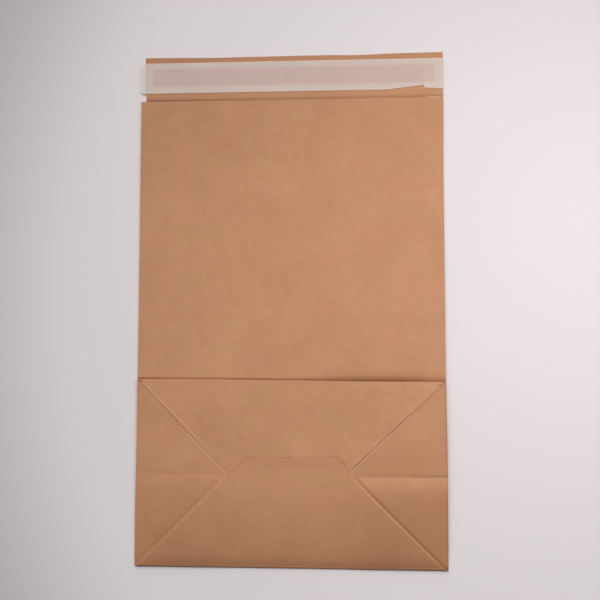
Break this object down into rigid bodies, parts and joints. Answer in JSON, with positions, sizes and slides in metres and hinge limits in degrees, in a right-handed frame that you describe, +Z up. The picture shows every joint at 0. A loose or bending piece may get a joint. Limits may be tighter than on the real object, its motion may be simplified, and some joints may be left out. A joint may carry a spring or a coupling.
{
  "type": "paper mailer",
  "caption": "Flat-folded kraft paper mailer with side gussets, a folded-up block bottom and a closing lip that carries an adhesive strip under a release liner.",
  "frame": {"origin": "below the middle of the mailer's outline, on the surface that it lies on", "axes": "+X across the mailer to the right with its front up, +Y from the bottom fold to the closing lip, +Z up out of the front"},
  "size_m": [0.3068, 0.5102, 0.0097],
  "materials": {
    "kraft_paper": "matte unbleached kraft",
    "closure_adhesive": "clear tacky film",
    "release_liner": "smooth silicone-coated glassine",
    "paper_glue": "dried glue"
  },
  "bodies": {
    "root": {"paper_bag": "kraft_paper", "closure_adhesive": "closure_adhesive", "release_liner": "release_liner", "side_seam_glue": "paper_glue", "bottom_glue": "paper_glue"}
  },
  "joints": []
}
